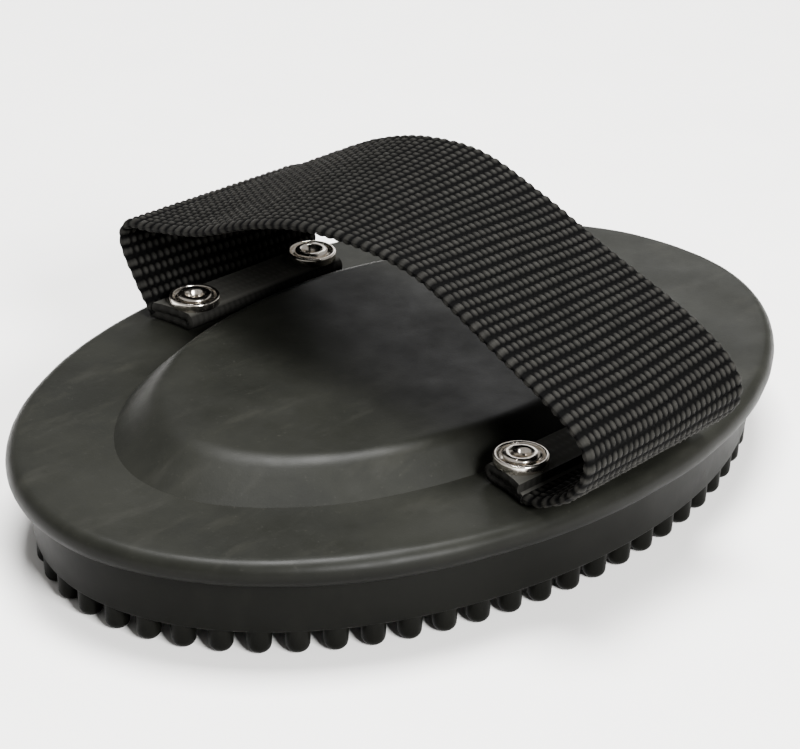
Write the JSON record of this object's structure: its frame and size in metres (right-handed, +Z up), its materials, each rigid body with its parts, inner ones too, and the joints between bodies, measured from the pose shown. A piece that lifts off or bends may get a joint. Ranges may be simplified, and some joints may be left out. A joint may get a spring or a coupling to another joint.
{
  "type": "rubber curry brush",
  "caption": "Oval rubber grooming brush with a raised boss, a skirt of round pegs and a webbing hand strap riveted over its back.",
  "frame": {"origin": "centre of the oval, on the surface that the pegs stand on", "axes": "+X along the oval's long axis, +Y across it along the strap, +Z up through the strap's arch"},
  "size_m": [0.168, 0.1184, 0.0581],
  "materials": {
    "rubber": "dull moulded, faint bloom and scuffs",
    "webbing": "coarse woven nylon",
    "nickel": "bright nickel plate",
    "zinc": "dull zinc plate"
  },
  "bodies": {
    "brush_body": {"rubber_body": "rubber", "rivet_1": "nickel", "rivet_2": "nickel", "rivet_3": "nickel", "rivet_4": "nickel", "cup_washer_1": "nickel", "cup_washer_2": "nickel", "cup_washer_3": "nickel", "cup_washer_4": "nickel", "backing_washer_1": "zinc", "backing_washer_2": "zinc", "backing_washer_3": "zinc", "backing_washer_4": "zinc"},
    "strap": {"hand_strap": "webbing"}
  },
  "joints": [
    {"name": "strap_flex", "type": "slide", "parent": "brush_body", "child": "strap", "axis": [0, 0, 1], "range_m": [-0.016, 0], "stiffness_N_per_m": 200, "deforming": ["hand_strap"]}
  ]
}
